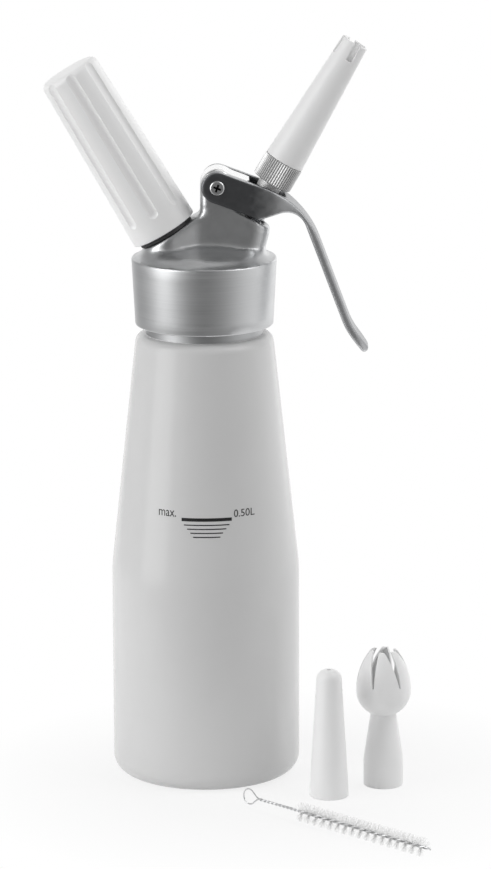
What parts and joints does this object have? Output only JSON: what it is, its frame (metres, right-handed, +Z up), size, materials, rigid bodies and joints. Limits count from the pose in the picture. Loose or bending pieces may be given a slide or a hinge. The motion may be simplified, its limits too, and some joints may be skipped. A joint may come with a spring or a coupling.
{
  "type": "cream whipper",
  "caption": "Half-litre cream whipper: lacquered bottle, screw-on cast head with charger holder, squeeze lever and nozzle, with spare tips and a cleaning brush.",
  "frame": {"origin": "centre of the bottle's foot, on the surface that it stands on", "axes": "+Z up along the bottle, +X towards the nozzle and the lever's handle, -X towards the charger holder"},
  "size_m": [0.1586, 0.1704, 0.3171],
  "materials": {
    "white_lacquer": "gloss white lacquer on aluminium",
    "cast_aluminium": "satin cast and brushed aluminium",
    "dark_cast_aluminium": "dark satin cast aluminium",
    "white_plastic": "moulded, semi-gloss",
    "black_rubber": "matt",
    "grey_silicone": "matt",
    "plated_brass": "nickel plated",
    "stainless_steel": "polished",
    "bulb_steel": "drawn and plated",
    "nylon_bristle": "translucent white filament"
  },
  "bodies": {
    "bottle": {"bottle": "white_lacquer"},
    "gasket": {"head_gasket": "grey_silicone"},
    "head": {"head": "cast_aluminium", "charger_stud": "plated_brass", "stud_washer": "black_rubber", "piercing_pin": "stainless_steel", "charger_seal": "grey_silicone", "check_valve": "black_rubber", "stem_o_ring": "black_rubber", "valve_spring": "stainless_steel", "pivot_screw": "stainless_steel", "pivot_barrel": "stainless_steel"},
    "charger": {"gas_charger": "bulb_steel"},
    "holder": {"charger_holder": "white_plastic"},
    "lever": {"lever": "dark_cast_aluminium"},
    "valve": {"valve_stem": "stainless_steel", "valve_seal": "grey_silicone", "valve_nut": "stainless_steel"},
    "nozzle_washer": {"adapter_seal": "grey_silicone"},
    "nozzle": {"nozzle_adapter": "stainless_steel", "nozzle_tip": "white_plastic"},
    "plain_tip": {"plain_tip": "white_plastic"},
    "tulip_tip": {"tulip_tip": "white_plastic"},
    "brush": {"brush_wire": "stainless_steel", "brush_bristles": "nylon_bristle"}
  },
  "joints": [
    {"name": "head_lift", "type": "slide", "parent": "bottle", "child": "gasket", "axis": [0, 0, 1], "range_m": [0, 0.0101]},
    {"name": "head_turn", "type": "hinge", "parent": "gasket", "child": "head", "pos_m": [0, 0, 0.2], "axis": [0, 0, 1], "range_deg": [0, 900]},
    {"name": "charger_draw", "type": "slide", "parent": "head", "child": "charger", "axis": [-0.509, 0, 0.8607], "range_m": [0, 0.0201]},
    {"name": "holder_turn", "type": "hinge", "parent": "charger", "child": "holder", "pos_m": [-0.03054, 0, 0.25884], "axis": [-0.509, 0, 0.8607], "range_deg": [0, 2880]},
    {"name": "lever_squeeze", "type": "hinge", "parent": "head", "child": "lever", "pos_m": [0.0057, 0, 0.2548], "axis": [0, 1, 0], "range_deg": [0, 11], "stiffness_Nm_per_rad": 1, "springref_deg": -11.46},
    {"name": "valve_press", "type": "slide", "parent": "head", "child": "valve", "axis": [-0.509, 0, -0.8607], "range_m": [0, 0.0038], "deforming": ["valve_spring"]},
    {"name": "washer_draw", "type": "slide", "parent": "valve", "child": "nozzle_washer", "axis": [0.509, 0, 0.8607], "range_m": [0, 0.0121]},
    {"name": "nozzle_turn", "type": "hinge", "parent": "nozzle_washer", "child": "nozzle", "pos_m": [0.03054, 0, 0.25884], "axis": [0.509, 0, 0.8607], "range_deg": [0, 2880]},
    {"name": "plain_tip_lift", "type": "slide", "parent": "bottle", "child": "plain_tip", "axis": [0, 0, 1], "range_m": [0, 0.06]},
    {"name": "tulip_tip_lift", "type": "slide", "parent": "bottle", "child": "tulip_tip", "axis": [0, 0, 1], "range_m": [0, 0.06]},
    {"name": "brush_lift", "type": "slide", "parent": "bottle", "child": "brush", "axis": [0, 0, 1], "range_m": [0, 0.06]}
  ],
  "couplings": [
    {"joint": "head_lift", "follows": "head_turn", "m_per_rad": 0.00063662},
    {"joint": "charger_draw", "follows": "holder_turn", "m_per_rad": 0.00039789},
    {"joint": "valve_press", "follows": "lever_squeeze", "m_per_rad": 0.01932},
    {"joint": "washer_draw", "follows": "nozzle_turn", "m_per_rad": 0.00023873}
  ]
}
